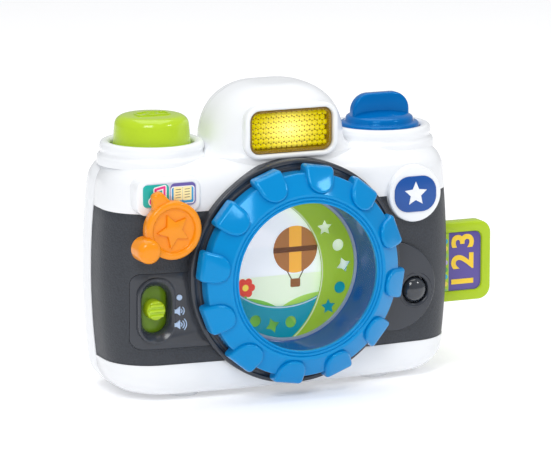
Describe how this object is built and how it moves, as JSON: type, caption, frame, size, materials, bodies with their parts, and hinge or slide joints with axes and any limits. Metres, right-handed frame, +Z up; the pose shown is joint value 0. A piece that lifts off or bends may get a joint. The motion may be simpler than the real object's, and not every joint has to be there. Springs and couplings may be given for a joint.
{
  "type": "toy camera",
  "caption": "Chunky pretend camera with a turning lens ring, press shutter button, winder dial, mode lever, volume slider and a photo slide that pushes into its side.",
  "frame": {"origin": "on the table plane under the feet, midway between the four feet and below the lens axis", "axes": "+X to the right seen from the front, -Y out of the lens, +Z up"},
  "size_m": [0.2134, 0.086, 0.149],
  "materials": {
    "white_body": "satin white moulded plastic",
    "dark_grip": "dark grey moulded plastic, fine leather-like texture",
    "blue": "glossy mid blue plastic",
    "green": "glossy lime green plastic",
    "orange": "glossy orange plastic",
    "clear": "clear moulded plastic",
    "smoke": "smoky clear moulded plastic",
    "amber_clear": "yellow clear moulded plastic",
    "mask_print": "lime and teal printed sheet",
    "picture_print": "printed card",
    "label_print": "printed label",
    "card_print": "printed card",
    "badge_blue": "printed blue insert",
    "inner_white": "natural moulded plastic",
    "inner_gray": "grey moulded plastic",
    "black": "black plastic",
    "board_green": "circuit board",
    "steel": "plated steel",
    "speaker_metal": "pressed steel basket",
    "cell_wrap": "plain wrapped cell",
    "wire_red": "wire insulation"
  },
  "bodies": {
    "camera_body": {"front_shell": "white_body", "rear_shell": "white_body", "left_grip": "dark_grip", "right_grip": "dark_grip", "lens_mount": "dark_grip", "scene_disc": "picture_print", "scene_carrier": "inner_white", "carrier_screws": "steel", "button_bezel": "white_body", "button_spring": "steel", "button_plate": "inner_white", "shutter_switch": "black", "dial_bezel": "white_body", "dial_click": "steel", "flash_window": "amber_clear", "flash_board": "board_green", "flash_lamp": "clear", "mode_switch": "black", "mode_label": "label_print", "volume_switch": "black", "release_spring": "steel", "release_switch": "black", "badge_plate": "badge_blue", "slide_pocket": "inner_gray", "pocket_screws": "steel", "main_board": "board_green", "board_screws": "steel", "sound_chip": "black", "speaker_basket": "speaker_metal", "speaker_cone": "black", "battery_box": "inner_white", "battery_upper": "cell_wrap", "battery_lower": "cell_wrap", "battery_contacts": "steel", "case_screws": "steel", "feet": "white_body", "hookup_wires": "wire_red"},
    "lens": {"lens_ring": "blue", "lens_window": "clear", "lens_barrel": "smoke", "peep_mask": "mask_print", "lens_retainer": "inner_gray"},
    "shutter": {"shutter_button": "green"},
    "winder": {"winder_dial": "blue", "dial_ratchet": "inner_white", "dial_screw": "steel"},
    "lever": {"mode_lever": "orange", "lever_clip": "steel", "lever_screw": "steel"},
    "volume": {"volume_knob": "green", "volume_carriage": "black"},
    "release": {"release_button": "dark_grip"},
    "slide": {"photo_slide": "green", "slide_card": "card_print"},
    "door": {"battery_door": "white_body", "door_screw": "steel"}
  },
  "joints": [
    {"name": "lens_turn", "type": "hinge", "parent": "camera_body", "child": "lens", "pos_m": [0, -0.04, 0.0602], "axis": [0, -1, 0], "continuous": true},
    {"name": "shutter_press", "type": "slide", "parent": "camera_body", "child": "shutter", "axis": [0, 0, -1], "range_m": [0, 0.004], "stiffness_N_per_m": 900, "springref_m": -0.0015, "deforming": ["button_spring"]},
    {"name": "winder_turn", "type": "hinge", "parent": "camera_body", "child": "winder", "pos_m": [0.0597, 0, 0.115], "axis": [0, 0, 1], "continuous": true},
    {"name": "lever_swing", "type": "hinge", "parent": "camera_body", "child": "lever", "pos_m": [-0.0646, -0.035, 0.086], "axis": [0, -1, 0], "range_deg": [-49, 0]},
    {"name": "volume_slide", "type": "slide", "parent": "camera_body", "child": "volume", "axis": [0, 0, 1], "range_m": [-0.0064, 0.0064]},
    {"name": "release_press", "type": "slide", "parent": "camera_body", "child": "release", "axis": [0, 1, 0], "range_m": [0, 0.0018], "stiffness_N_per_m": 800, "springref_m": -0.001, "deforming": ["release_spring"]},
    {"name": "slide_push", "type": "slide", "parent": "camera_body", "child": "slide", "axis": [1, 0, 0], "range_m": [-0.028, 0]},
    {"name": "door_lift", "type": "slide", "parent": "camera_body", "child": "door", "axis": [0, 1, 0], "range_m": [0, 0.03]}
  ]
}
